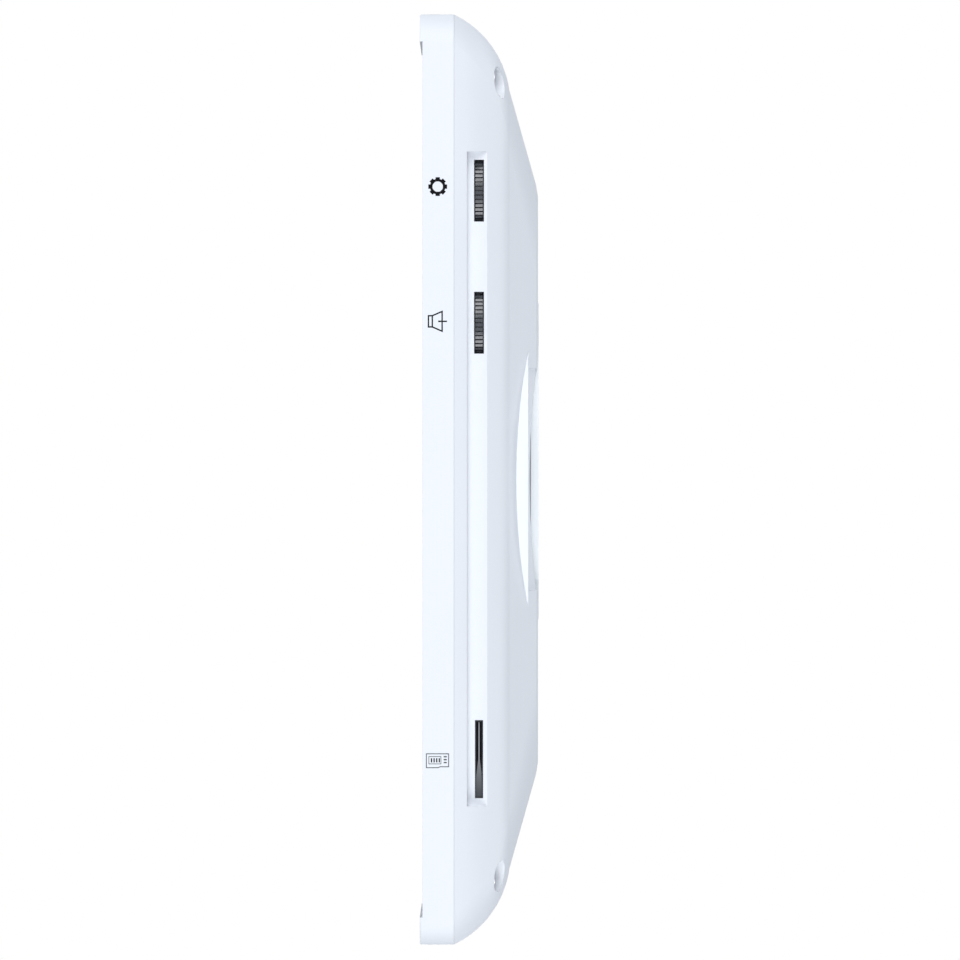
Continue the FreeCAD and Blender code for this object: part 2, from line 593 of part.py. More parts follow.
# ---------------------------------------------------------------- display stack
lcd_left, lcd_right = "lcd_x - lcd_width / 2", "lcd_x + lcd_width / 2"
bezel_blank = block("bezel_blank", lcd_left, lcd_right, "lcd_back", "lcd_front",
                    "-lcd_height / 2", "lcd_height / 2")
bezel_hollow = block("bezel_hollow", "%s + bezel_sheet" % lcd_left, "%s - bezel_sheet" % lcd_right,
                     "lcd_back + bezel_sheet", "lcd_front - bezel_sheet",
                     "-lcd_height / 2 + bezel_sheet", "lcd_height / 2 - bezel_sheet")
bezel_view = block("bezel_view", "lcd_x - lcd_view_width / 2", "lcd_x + lcd_view_width / 2",
                   "lcd_front - 1", "lcd_front + 1", "-lcd_view_height / 2", "lcd_view_height / 2")
bezel_exit = block("bezel_flex_exit", "lcd_x - flex_half - 4", "lcd_x + flex_half + 4",
                   "lcd_front - 2.4", "lcd_front - 0.5", "-lcd_height / 2 - 1", "-lcd_height / 2 + 1")
keep(cut("lcd_bezel_solid", bezel_blank, [bezel_hollow, bezel_view, bezel_exit]), "lcd_bezel")
keep(block("lcd_backlight_solid", "%s + 0.6" % lcd_left, "%s - 0.6" % lcd_right, "lcd_back + 0.45",
           "lcd_back + 3", "-lcd_height / 2 + 0.6", "lcd_height / 2 - 0.6"), "lcd_backlight")
keep(block("lcd_glass_solid", "%s + 0.7" % lcd_left, "%s - 0.7" % lcd_right, "lcd_back + 3.05",
           "lcd_front - 0.45", "-lcd_height / 2 + 2.2", "lcd_height / 2 - 0.7"), "lcd_glass")
gasket_blank = block("gasket_blank", lcd_left, lcd_right, "lcd_front + 0.02", "%s - 0.02" % panel_back,
                     "-lcd_height / 2", "lcd_height / 2")
gasket_view = block("gasket_view", "lcd_x - lcd_view_width / 2", "lcd_x + lcd_view_width / 2",
                    "0", "front_plane + clear_over", "-lcd_view_height / 2", "lcd_view_height / 2")
keep(cut("lcd_gasket_solid", gasket_blank, [gasket_view]), "lcd_gasket")
flex_low = "-lcd_height / 2 - 2.2"
keep(prism("lcd_flex_solid", "YZ_Plane", [
    ("-(lcd_front - 0.9)", "-lcd_height / 2 + 2.1"),
    ("-(lcd_front - 0.9)", flex_low),
    ("-(board_front + 0.9)", flex_low),
    ("-(board_front + 0.9)", "board_bottom + 3"),
    ("-(board_front + 0.9 + flex_thickness)", "board_bottom + 3"),
    ("-(board_front + 0.9 + flex_thickness)", "%s + flex_thickness" % flex_low),
    ("-(lcd_front - 0.9 - flex_thickness)", "%s + flex_thickness" % flex_low),
    ("-(lcd_front - 0.9 - flex_thickness)", "-lcd_height / 2 + 2.1")],
    "2 * flex_half", out="lcd_x - flex_half"), "lcd_flex_cable")

# ---------------------------------------------------------------- main board
board_blank = block("main_board_blank", "-board_half", "board_half", "board_back", "board_front",
                    "board_bottom", "board_top")
board_holes = [rod("board_hole_%d" % number, across, up, "0", "front_plane", "board_hole_radius")
               for number, (across, up) in enumerate(BOARD_SCREWS)]
keep(cut("main_board_solid", board_blank, board_holes), "main_board")


def front_screw(name, across, up, seat, tip):
    """Make a pan-head screw entering from the front, its head standing on a board."""
    head = rod(name + "_head", across, up, seat, "%s + board_head_height" % seat, "board_head_radius")
    shank = rod(name + "_shank", across, up, tip, "%s + 0.2" % seat, "board_thread_radius")
    drive = block(name + "_drive", "%s - 1.2" % across, "%s + 1.2" % across,
                  "%s + board_head_height - 0.6" % seat, "%s + 3" % seat,
                  "%s - 0.25" % up, "%s + 0.25" % up)
    return cut(name, fuse(name + "_body", [head, shank]), [drive])


keep(group("board_screw_group", [
    front_screw("board_screw_%d" % number, across, up, "board_front", "board_screw_tip")
    for number, (across, up) in enumerate(BOARD_SCREWS)]), "board_screws")


def chip(label, across, up, width, height, thickness):
    """Stand one rectangular component, centred on a spot, on the front of the main board."""
    keep(block(label + "_solid", "%g - %g / 2" % (across, width), "%g + %g / 2" % (across, width),
               "board_front", "board_front + %g" % thickness,
               "%g - %g / 2" % (up, height), "%g + %g / 2" % (up, height)), label)


chip("processor_chip", across=-6, up=16, width=16, height=16, thickness=1.1)
chip("memory_chip", across=15.5, up=16.5, width=11, height=13, thickness=1)
chip("regulator_chip", across=31.25, up=-3, width=6.5, height=6, thickness=1.5)
keep(block("inductor_solid", "-40", "-33", "board_back - 2.6", "board_back", "4", "11"), "power_inductor")
CAPACITOR_SPOTS = (("-38", "20"), ("-30", "20"), ("-38", "30"), ("36", "24"))
keep(group("capacitor_group", [
    rod("capacitor_%d" % number, across, up, "board_back - 2.8", "board_back", "2.5")
    for number, (across, up) in enumerate(CAPACITOR_SPOTS)]), "power_capacitors")
flex_socket = block("flex_socket_blank", "lcd_x - flex_half - 2", "lcd_x + flex_half + 2",
                    "board_front", "board_front + 1.6", "board_bottom + 1", "board_bottom + 5.5")
flex_mouth = block("flex_socket_mouth", "lcd_x - flex_half - 0.4", "lcd_x + flex_half + 0.4",
                   "board_front + 0.7", "board_front + 1.3", "board_bottom - 1", "board_bottom + 3.6")
keep(cut("flex_socket_solid", flex_socket, [flex_mouth]), "display_socket")

# wire sockets for the two door stations and the supply
SOCKETS = (("door_1_socket", "door_one_x", 4), ("door_2_socket", "door_two_x", 4),
           ("power_socket", "power_x", 2))
PIN_HALF = 0.32
PIN_HOLE_HALF = PIN_HALF + 0.02
pins = []


def pin_block(name, across, half, back, front):
    """Make a square bar square to the wall at the height of the wire sockets."""
    return block(name, "%s - %g" % (across, half), "%s + %g" % (across, half), back, front,
                 "socket_z - %g" % half, "socket_z + %g" % half)


for label, across, count in SOCKETS:
    half = "(socket_width - %d * pin_pitch) / 2" % (4 - count)
    inner_half = "(socket_cavity_width - %d * pin_pitch) / 2" % (4 - count)
    shroud = block(label + "_shroud", "%s - %s" % (across, half), "%s + %s" % (across, half),
                   "socket_back", "board_back",
                   "socket_z - socket_height / 2", "socket_z + socket_height / 2")
    well = block(label + "_well", "%s - %s" % (across, inner_half), "%s + %s" % (across, inner_half),
                 "0", "board_back - 0.7",
                 "socket_z - socket_cavity_height / 2", "socket_z + socket_cavity_height / 2")
    pin_holes = []
    for number in range(count):
        place = "%s + (%g) * pin_pitch" % (across, number - (count - 1) / 2)
        pins.append(pin_block("%s_pin_%d" % (label, number), place, PIN_HALF,
                              "socket_back + 1.2", "board_back - 0.01"))
        pin_holes.append(pin_block("%s_pin_hole_%d" % (label, number), place, PIN_HOLE_HALF,
                                   "0", "board_back + 1"))
    keep(cut(label + "_solid", shroud, [well] + pin_holes), label)
keep(group("socket_pin_group", pins), "socket_pins")

# ---------------------------------------------------------------- touch keys behind the panel
key_board = block("key_board_blank", "key_board_left", "key_board_right",
                  "%s - 0.9" % panel_back, "%s - 0.1" % panel_back, "-key_board_half", "key_board_half")
KEY_SPOTS = [("key_x", "key_top - %d * key_pitch" % number) for number in range(5)]
led_cuts = [rod("key_led_hole_%d" % number, across, up, "0", "front_plane", "1.6")
            for number, (across, up) in enumerate(KEY_SPOTS)]
keep(cut("touch_key_board_solid", key_board, led_cuts), "touch_key_board")
led_board_front = "(%s - 1)" % panel_back
keep(block("key_light_board_solid", "key_x - light_board_reach", "key_x + light_board_reach",
           "%s - 0.9" % led_board_front, led_board_front, "-light_board_half", "light_board_half"),
     "key_light_board")
keep(group("key_light_group", [
    block("key_light_%d" % number, "%s - 0.8" % across, "%s + 0.8" % across,
          led_board_front, "%s + 0.7" % led_board_front, "%s - 0.6" % up, "%s + 0.6" % up)
    for number, (across, up) in enumerate(KEY_SPOTS)]), "key_lights")

# ---------------------------------------------------------------- side board with wheels and card socket
side_holes = [rod("side_board_hole_%d" % number, "side_screw_x", up, "0", "front_plane",
                  "board_hole_radius - 0.1")
              for number, up in enumerate(SIDE_SCREW_LEVELS)]
side_blank = block("side_board_blank", "side_board_left", "side_board_right", "side_board_back",
                   "side_board_front", "-side_board_half", "side_board_half")
keep(cut("side_board_solid", side_blank, side_holes), "control_board")
keep(group("side_board_screw_group", [
    front_screw("side_board_screw_%d" % number, "side_screw_x", up, "side_board_front", "side_screw_tip")
    for number, up in enumerate(SIDE_SCREW_LEVELS)]), "control_board_screws")

WHEEL_BACK, WHEEL_FRONT = "control_depth - wheel_thickness / 2", "control_depth + wheel_thickness / 2"


def ribbed_wheel(name, level):
    """Make a thumbwheel: a bored disc whose rim is grooved all round into fine ribs."""
    body = new_body(name)
    sketch = new_sketch(body, name + "_disc", "XZ_Plane", WHEEL_X, level, WHEEL_BACK)
    centre = FreeCAD.Vector(0, 0, 0)
    up = FreeCAD.Vector(0, 0, 1)
    for radius in ("wheel_radius", "axle_radius + axle_clearance"):
        index = sketch.addGeometry(Part.Circle(centre, up, amount(radius)))
        sketch.addConstraint(Sketcher.Constraint("Coincident", index, 3, -1, 1))
        constrain(sketch, radius, "Radius", index)
    pad(body, sketch, "wheel_thickness")
    groove = new_sketch(body, name + "_groove", "XZ_Plane", WHEEL_X, level, WHEEL_BACK)
    half_mouth = "pi * wheel_radius / wheel_ribs * 0.56"
    corners = [("wheel_radius + 0.5", "%s" % half_mouth), ("wheel_radius - rib_groove", "0.06"),
               ("wheel_radius - rib_groove", "-0.06"), ("wheel_radius + 0.5", "-(%s)" % half_mouth)]
    spots = [FreeCAD.Vector(amount(x), amount(y), 0) for x, y in corners]
    for index in range(4):
        groove.addGeometry(Part.LineSegment(spots[index], spots[(index + 1) % 4]))
    for index in range(4):
        groove.addConstraint(Sketcher.Constraint("Coincident", index, 2, (index + 1) % 4, 1))
    for index, (x, y) in enumerate(corners):
        constrain(groove, x, "DistanceX", -1, 1, index, 1)
        constrain(groove, y, "DistanceY", -1, 1, index, 1)
    pocket = body.newObject("PartDesign::Pocket", name + "_groove_cut")
    pocket.Profile = groove
    pocket.Reversed = True
    pocket.setExpression("Length", bind("wheel_thickness"))
    doc.recompute()
    ribs = body.newObject("PartDesign::PolarPattern", name + "_ribs")
    ribs.Originals = [pocket]
    ribs.Axis = (sketch, ["N_Axis"])
    ribs.Angle = 360
    ribs.setExpression("Occurrences", bind("wheel_ribs"))
    body.Tip = ribs
    doc.recompute()
    return body


keep(ribbed_wheel("settings_wheel_disc", "settings_z"), "settings_wheel")
keep(ribbed_wheel("volume_wheel_disc", "volume_z"), "volume_wheel")



def wheel_axle(name, level):
    return rod(name, WHEEL_X, level, "%s - 0.25" % WHEEL_BACK, "%s + 0.3" % WHEEL_FRONT, "axle_radius")


def wheel_carrier(name, level, gap):
    """Make the square base behind a wheel, standing off from the control board."""
    return block(name, "%s - carrier_reach" % WHEEL_X, "side_board_right - 0.3",
                 "%s + %s" % (WHEEL_FRONT, gap), "side_board_back",
                 "%s - carrier_half" % level, "%s + carrier_half" % level)


# settings wheel: a pressed carriage slides on the encoder base and works a small switch
carriage_back = "(%s + carriage_gap)" % WHEEL_FRONT
carriage_front = "(%s + carriage_thickness)" % carriage_back
carriage_slab = block("carriage_slab", "%s - 4.2" % WHEEL_X, "%s + 4.2" % WHEEL_X,
                      carriage_back, carriage_front, "settings_z - 4.5", "settings_z + 4.5")
carriage_arm = block("carriage_arm", "%s - 9.2" % WHEEL_X, "%s - 4" % WHEEL_X,
                     carriage_back, carriage_front, "settings_z - 1.5", "settings_z + 1.5")
carriage_finger = block("carriage_finger", "%s - 9.2" % WHEEL_X, "%s - 8.2" % WHEEL_X,
                        "switch_depth - 0.5", "%s + 0.3" % WHEEL_FRONT,
                        "settings_z - 1.5", "settings_z + 1.5")
carriage_axle = wheel_axle("carriage_axle", "settings_z")
keep(fuse("settings_carriage_solid", [carriage_slab, carriage_axle, carriage_arm, carriage_finger]),
     "settings_carriage")
encoder_gap = "(carriage_gap + carriage_thickness + 0.1)"
keep(wheel_carrier("encoder_base", "settings_z", encoder_gap), "settings_encoder_base")
switch_body = block("switch_body", "%s - 14" % WHEEL_X, "%s - 10.4" % WHEEL_X,
                    "switch_depth - 0.9", "side_board_back", "settings_z - 2.6", "settings_z + 2.6")
switch_well = side_rod("switch_well", "%s - 11.6" % WHEEL_X, "%s - 10" % WHEEL_X, "switch_depth",
                       "settings_z", "plunger_radius + 0.06")
keep(cut("push_switch_solid", switch_body, [switch_well]), "push_switch")
keep(side_rod("push_switch_plunger_solid", "%s - 10.9" % WHEEL_X, "%s - 9.2" % WHEEL_X, "switch_depth",
              "settings_z", "plunger_radius"), "push_switch_plunger")

# volume wheel: a rotary potentiometer base with a fixed axle
keep(fuse("volume_potentiometer_solid", [wheel_carrier("pot_base", "volume_z", "0.1"),
                                         wheel_axle("pot_axle", "volume_z")]), "volume_potentiometer")

# memory card socket: insulating base, sheet-metal shield, ejector and its spring
path_back = "(control_depth - card_path_width / 2)"
path_front = "(control_depth + card_path_width / 2)"
SOCKET_LOW, SOCKET_HIGH = "card_socket_low", "card_socket_high"


def socket_piece(name, right, back, low, high):
    """Make one moulded wall of the card socket, standing on the control board."""
    return block(name, "card_socket_left", right, "%s + 0.02" % back, "side_board_back", low, high)


keep(fuse("card_base_solid", [
    socket_piece("card_base_bed", "card_socket_right", path_front, SOCKET_LOW, SOCKET_HIGH),
    socket_piece("card_base_stop", "card_stop", path_back, SOCKET_LOW, SOCKET_HIGH),
    socket_piece("card_base_top", "card_socket_right", path_back, "card_channel_high", SOCKET_HIGH),
    socket_piece("card_base_low", "card_socket_right", path_back, SOCKET_LOW, "card_channel_low")]),
    "card_socket_base")


def shield_piece(name, front, low, high):
    """Make one folded side of the sheet-metal shield round the card socket."""
    return block(name, "card_socket_left - 0.3", "card_socket_right + 0.2",
                 "%s - shield_sheet" % path_back, front, low, high)


shield_low, shield_high = "card_socket_low - 0.3", "card_socket_high + 0.3"
keep(fuse("card_shield_solid", [
    shield_piece("shield_top", path_back, shield_low, shield_high),
    shield_piece("shield_low", "side_board_back", shield_low, "card_socket_low - 0.05"),
    shield_piece("shield_high", "side_board_back", "card_socket_high + 0.05", shield_high)]),
    "card_socket_shield")
keep(block("ejector_body", "spring_left + spring_length + 0.2", "card_socket_right - 2.6",
           "%s + 0.08" % path_back, "%s - 0.02" % path_front, "ejector_low", "ejector_high"),
     "card_ejector")

spring = doc.addObject("Part::Helix", "ejector_spring_path")
spring.setExpression("Height", bind("spring_length"))
spring.setExpression("Pitch", bind("spring_length / spring_turns"))
spring.setExpression("Radius", bind("spring_radius"))
spring_wire = doc.addObject("Part::Circle", "ejector_spring_wire")
spring_wire.setExpression("Radius", bind("spring_wire"))
SPRING_AXIS = "card_z - 6.3"
for piece, turned, level in ((spring, ALONG_WIDTH, SPRING_AXIS),
                             (spring_wire, ALONG_DEPTH, SPRING_AXIS + " - spring_radius")):
    piece.Placement.Rotation = turned
    piece.setExpression("Placement.Base.x", bind("spring_left"))
    piece.setExpression("Placement.Base.y", bind("-control_depth"))
    piece.setExpression("Placement.Base.z", bind(level))
spring_sweep = doc.addObject("Part::Sweep", "ejector_spring_sweep")
spring_sweep.Sections = [spring_wire]
spring_sweep.Spine = (spring, [])
spring_sweep.Solid = True
spring_sweep.Frenet = True
keep(spring_sweep, "ejector_spring")

# guide that leads a card from the slot in the strip into the socket
nose_half_width = "(card_slot_width / 2 - 0.03)"
nose_half_height = "(card_slot_height / 2 - 0.05)"
guide_flange = block("guide_flange", "guide_left", "nose_back",
                     "control_depth - 0.98", "side_board_back",
                     "card_z - guide_half", "card_z + guide_half")
guide_nose = slot_block("guide_nose", "nose_back - 0.1", "strip_plane - nose_sink", nose_half_width,
                        nose_half_height)
nose_well = slot_block("nose_well", "nose_back", "strip_plane", "(%s - nose_wall)" % nose_half_width,
                       "(%s - nose_wall)" % nose_half_height)
guide_path = slot_block("guide_path", "guide_left - 1", "strip_plane", "card_path_width / 2",
                        "card_path_height / 2")
guide_clear = block("guide_clear", "guide_left - 1", "guide_left + 2.6", "0", "control_depth - 0.7",
                    "card_z - 2 * guide_half", "card_z + 2 * guide_half")
keep(cut("card_guide_solid", fuse("card_guide_body", [guide_flange, guide_nose]),
         [nose_well, guide_path, guide_clear]), "card_slot_guide")

# soft seal standing in the guide: a flexible rib that flares into a solid foot
seal_low = "card_z - (%s - nose_wall - 0.01)" % nose_half_height
seal_high = "card_z + (%s - nose_wall - 0.1)" % nose_half_height
seal_levels = (("(%s - nose_wall - 0.01)" % nose_half_width, seal_low),
               ("(%s - nose_wall - 0.01)" % nose_half_width, "card_z + seal_flare_low"),
               ("seal_rib_width / 2", "card_z + seal_flare_high"),
               ("seal_rib_width / 2", seal_high))
seal_outline = [("-(control_depth - %s)" % half, level) for half, level in seal_levels]
seal_outline += [("-(control_depth + %s)" % half, level) for half, level in reversed(seal_levels)]
keep(prism("card_seal_solid", "YZ_Plane", seal_outline, "strip_plane - seal_sink - nose_back - 0.02",
           out="nose_back + 0.02"), "card_dust_seal")

# ---------------------------------------------------------------- loudspeaker


def speaker_disc(name, back, front, radius):
    return rod(name, "speaker_x", "speaker_z", back, front, radius)


def speaker_taper(name, back, front, back_radius, front_radius):
    return cone(name, "speaker_x", "speaker_z", back, front, back_radius, front_radius)


basket = fuse("speaker_frame_body", [
    speaker_disc("speaker_rim", "speaker_back", "speaker_back + 1.2", "speaker_radius"),
    speaker_taper("speaker_cup", "speaker_back + 1.2", "speaker_back + 2.4", "speaker_radius - 1.2",
                  "basket_radius")])
keep(cut("speaker_frame_solid", basket, [
    speaker_taper("speaker_open", "speaker_back - 0.01", "speaker_back + 1.9", "speaker_radius - 1.6",
                  "bowl_radius"),
    speaker_disc("speaker_bowl", "0", "speaker_back + 1.9", "bowl_radius")]), "speaker_frame")
keep(speaker_disc("speaker_magnet_solid", "speaker_back + 2.42", "speaker_front", "magnet_radius"),
     "speaker_magnet")
keep(cut("speaker_cone_solid",
         speaker_taper("diaphragm_out", "speaker_back + 0.15", "speaker_back + 1.7",
                       "speaker_radius - 2.4", "bowl_radius - 0.4"),
         [speaker_taper("diaphragm_in", "speaker_back + 0.14", "speaker_back + 1.4",
                        "speaker_radius - 2.9", "bowl_radius - 0.8")]), "speaker_cone")
gasket_tube = cut("speaker_gasket_tube",
                  speaker_disc("gasket_out", "2.5", "speaker_back - 0.03", "speaker_radius - 0.6"),
                  [speaker_disc("gasket_in", "0", "speaker_back + 1", "speaker_radius - 2.4")])
keep(common("speaker_gasket_solid", gasket_tube, domed_solid("gasket_limit", "shell_wall + 0.05")),
     "speaker_gasket")


def lead(name, points, radius):
    """Run a round wire of one radius smoothly through a list of points."""
    curve = Part.BSplineCurve()
    curve.interpolate([FreeCAD.Vector(*point) for point in points])
    path = Part.Wire([curve.toShape()])
    start = curve.value(curve.FirstParameter)
    tangent = curve.tangent(curve.FirstParameter)[0]
    ring = Part.Wire([Part.makeCircle(radius, start, tangent)])
    sweep = Part.BRepOffsetAPI.MakePipeShell(path)
    sweep.add(ring)
    sweep.build()
    sweep.makeSolid()
    part = doc.addObject("Part::Feature", name)
    part.Shape = sweep.shape()
    part.Placement = FreeCAD.Placement()
    return part


LEAD_RADIUS = 0.45
lead_x, lead_z = amount("speaker_x"), amount("speaker_z")
lead_y = -amount("board_front") - 1.2
for label, shift in (("speaker_lead_red", 0), ("speaker_lead_black", 1.3)):
    route = [(8.2 + shift, -0.2, 3), (12 + shift, -0.2, 8 - shift), (19 + shift, 0, 13 - shift),
             (22 + shift, 0.6, 20 - shift)]
    points = [(lead_x + across, lead_y + back, lead_z + up) for across, back, up in route]
    keep(lead(label + "_wire", points, LEAD_RADIUS), label)

# ---------------------------------------------------------------- microphone
boot = rod("boot_blank", "mic_x", "mic_z", "mic_back + 0.1", "%s - 0.03" % panel_back,
           "mic_boot_radius")
boot_well = rod("boot_well", "mic_x", "mic_z", "mic_back - 1", "mic_front + 0.05", "mic_radius + 0.05")
boot_port = rod("boot_port", "mic_x", "mic_z", "mic_back - 1", "front_plane + clear_over",
                "mic_port_radius")
keep(cut("microphone_boot_solid", boot, [boot_well, boot_port]), "microphone_boot")
keep(rod("microphone_solid", "mic_x", "mic_z", "mic_back", "mic_front", "mic_radius"), "microphone")

# ---------------------------------------------------------------- cable between the two boards
keep(prism("board_link_solid", "XY_Plane", [
    ("board_half - 6", "-(board_front + 0.2)"),
    ("board_half + 8", "-(board_front + 0.2)"),
    ("board_half + 20", "-(side_board_back - 0.3)"),
    ("side_board_left + 4", "-(side_board_back - 0.3)"),
    ("side_board_left + 4", "-(side_board_back - 0.1)"),
    ("board_half + 19.9", "-(side_board_back - 0.1)"),
    ("board_half + 7.9", "-(board_front + 0.4)"),
    ("board_half - 6", "-(board_front + 0.4)")],
    "link_width", out="link_low"), "board_link_cable")

# ---------------------------------------------------------------- check and write
doc.recompute()
faults = [item.Name for item in doc.Objects if "Invalid" in item.State or "Error" in item.State]
if faults:
    raise SystemExit("features failed: " + ", ".join(faults))
os.makedirs("parts", exist_ok=True)
for part in nodes:
    if part.Shape.isNull() or not part.Shape.isValid():
        raise SystemExit("bad shape: " + part.Label)
    part.Shape.exportStep("parts/%s.step" % part.Label)
    limits = part.Shape.BoundBox
    print("%-24s solids %2d  volume %10.1f  X %7.2f %7.2f  Y %7.2f %7.2f  Z %7.2f %7.2f" % (
        part.Label, len(part.Shape.Solids), part.Shape.Volume, limits.XMin, limits.XMax,
        limits.YMin, limits.YMax, limits.ZMin, limits.ZMax))
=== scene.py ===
import bpy
import math
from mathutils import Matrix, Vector


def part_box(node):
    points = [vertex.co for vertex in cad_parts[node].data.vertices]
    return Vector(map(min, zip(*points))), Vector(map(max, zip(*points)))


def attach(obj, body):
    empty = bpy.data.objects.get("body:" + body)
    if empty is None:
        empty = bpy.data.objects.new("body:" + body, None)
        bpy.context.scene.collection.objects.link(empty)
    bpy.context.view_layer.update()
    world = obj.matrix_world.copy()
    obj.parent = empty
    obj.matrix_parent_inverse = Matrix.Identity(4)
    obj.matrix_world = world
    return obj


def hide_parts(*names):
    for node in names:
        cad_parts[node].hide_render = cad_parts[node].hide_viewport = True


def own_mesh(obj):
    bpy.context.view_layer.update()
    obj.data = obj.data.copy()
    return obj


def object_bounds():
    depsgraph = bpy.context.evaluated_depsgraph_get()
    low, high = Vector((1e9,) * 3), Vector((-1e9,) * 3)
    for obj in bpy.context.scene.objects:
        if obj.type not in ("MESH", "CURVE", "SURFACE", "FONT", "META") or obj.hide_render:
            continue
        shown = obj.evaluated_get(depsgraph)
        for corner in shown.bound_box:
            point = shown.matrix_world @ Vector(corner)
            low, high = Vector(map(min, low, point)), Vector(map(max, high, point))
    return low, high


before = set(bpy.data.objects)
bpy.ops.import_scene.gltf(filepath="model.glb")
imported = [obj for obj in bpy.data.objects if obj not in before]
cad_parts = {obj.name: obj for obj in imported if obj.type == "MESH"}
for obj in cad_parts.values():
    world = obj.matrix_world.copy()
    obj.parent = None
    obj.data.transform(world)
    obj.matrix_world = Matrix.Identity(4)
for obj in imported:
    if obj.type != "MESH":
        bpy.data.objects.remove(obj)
cad_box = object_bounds()
MM = 0.001

# ---------------------------------------------------------------- materials


def new_material(name):
    """Make a material, and return it with its node tree and its main shader."""
    material = bpy.data.materials.new(name)
    material.use_nodes = True
    tree = material.node_tree
    shader = tree.nodes["Principled BSDF"]
    return material, tree, shader


def link(tree, source, target):
    tree.links.new(source, target)


def noise(tree, scale, detail=3.0, roughness=0.55, stretch=(1, 1, 1)):
    """Noise in the row frame, with its scale in features per metre."""
    place = tree.nodes.new("ShaderNodeTexCoord")
    shape = tree.nodes.new("ShaderNodeMapping")
    shape.inputs["Scale"].default_value = stretch
    field = tree.nodes.new("ShaderNodeTexNoise")
    field.inputs["Scale"].default_value = scale
    field.inputs["Detail"].default_value = detail
    field.inputs["Roughness"].default_value = roughness
    link(tree, place.outputs["Object"], shape.inputs["Vector"])
    link(tree, shape.outputs["Vector"], field.inputs["Vector"])
    return field.outputs["Fac"]


NOISE_LOW, NOISE_HIGH = 0.3, 0.7


def spread(tree, value, low, high):
    """Map the part of 0 to 1 that noise really fills onto a range."""
    mapped = tree.nodes.new("ShaderNodeMapRange")
    mapped.inputs["From Min"].default_value = NOISE_LOW
    mapped.inputs["From Max"].default_value = NOISE_HIGH
    mapped.inputs["To Min"].default_value = low
    mapped.inputs["To Max"].default_value = high
    link(tree, value, mapped.inputs["Value"])
    return mapped.outputs["Result"]


def blend_colours(tree, factor, first, second):
    """Mix two colours, each of them a tuple or a socket."""
    mix = tree.nodes.new("ShaderNodeMix")
    mix.data_type = "RGBA"
    for socket, value in ((6, first), (7, second)):
        if isinstance(value, tuple):
            mix.inputs[socket].default_value = (*value, 1)
        else:
            link(tree, value, mix.inputs[socket])
    link(tree, factor, mix.inputs[0])
    return mix.outputs[2]


BEVEL_SAMPLES = 4


def bump(tree, shader, height, distance, rounding=0.0):
    """Raise fine surface relief, over edges softened by a small rounding."""
    node = tree.nodes.new("ShaderNodeBump")
    node.inputs["Distance"].default_value = distance
    node.inputs["Strength"].default_value = 1.0
    link(tree, height, node.inputs["Height"])
    if rounding:
        soft = tree.nodes.new("ShaderNodeBevel")
        soft.samples = BEVEL_SAMPLES
        soft.inputs["Radius"].default_value = rounding
        link(tree, soft.outputs["Normal"], node.inputs["Normal"])
    link(tree, node.outputs["Normal"], shader.inputs["Normal"])


def scaled(colour, amount):
    """Lighten or darken a colour."""
    return tuple(min(1.0, part * amount) for part in colour)


LIGHTER_SHARE, GRAIN_SHARE, GRAIN_MIX = 0.4, 1.5, 0.35
SMOOTHER, ROUGHER = 0.05, 0.06
COAT_ROUGHNESS = 0.08


def surface(name, colour, rough, metal=0.0, grain=2500, depth=0.004 * MM, vary=0.05, patch=60,
            coat=0.0, specular=0.5, rounding=0.0, stretch=(1, 1, 1)):
    """A moulded, painted or metal surface: fine grain relief, slow tint change and uneven gloss."""
    material, tree, shader = new_material(name)
    slow = spread(tree, noise(tree, patch, 2), 0, 1)
    fine = noise(tree, grain, 2, stretch=stretch)
    dark, light = scaled(colour, 1 - vary), scaled(colour, 1 + vary * LIGHTER_SHARE)
    tint = blend_colours(tree, slow, dark, light)
    grain_tint = scaled(colour, 1 - GRAIN_SHARE * vary)
    tint = blend_colours(tree, spread(tree, fine, 0, GRAIN_MIX), tint, grain_tint)
    link(tree, tint, shader.inputs["Base Color"])
    link(tree, spread(tree, fine, rough - SMOOTHER, rough + ROUGHER), shader.inputs["Roughness"])
    shader.inputs["Metallic"].default_value = metal
    shader.inputs["Specular IOR Level"].default_value = specular
    shader.inputs["Coat Weight"].default_value = coat
    shader.inputs["Coat Roughness"].default_value = COAT_ROUGHNESS
    bump(tree, shader, fine, depth, rounding=rounding)
    return material


WHITE = (0.845, 0.87, 0.915)


def paint(material, *nodes):
    """Give CAD nodes one procedural material, in place of their own."""
    for node in nodes:
        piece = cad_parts[node]
        piece.data.materials.clear()
        piece.data.materials.append(material)


TRACK_SCALE, TRACK_GAP, TRACK_LENGTH, TRACK_PITCH = 260, 0.03, 0.9, 0.31
PAD_SCALE, PAD_RADIUS = 330, 0.16
TRACK_RELIEF = 0.03 * MM
TRACK_TINT = 1.7
MASK_ROUGHNESS = (0.28, 0.42)


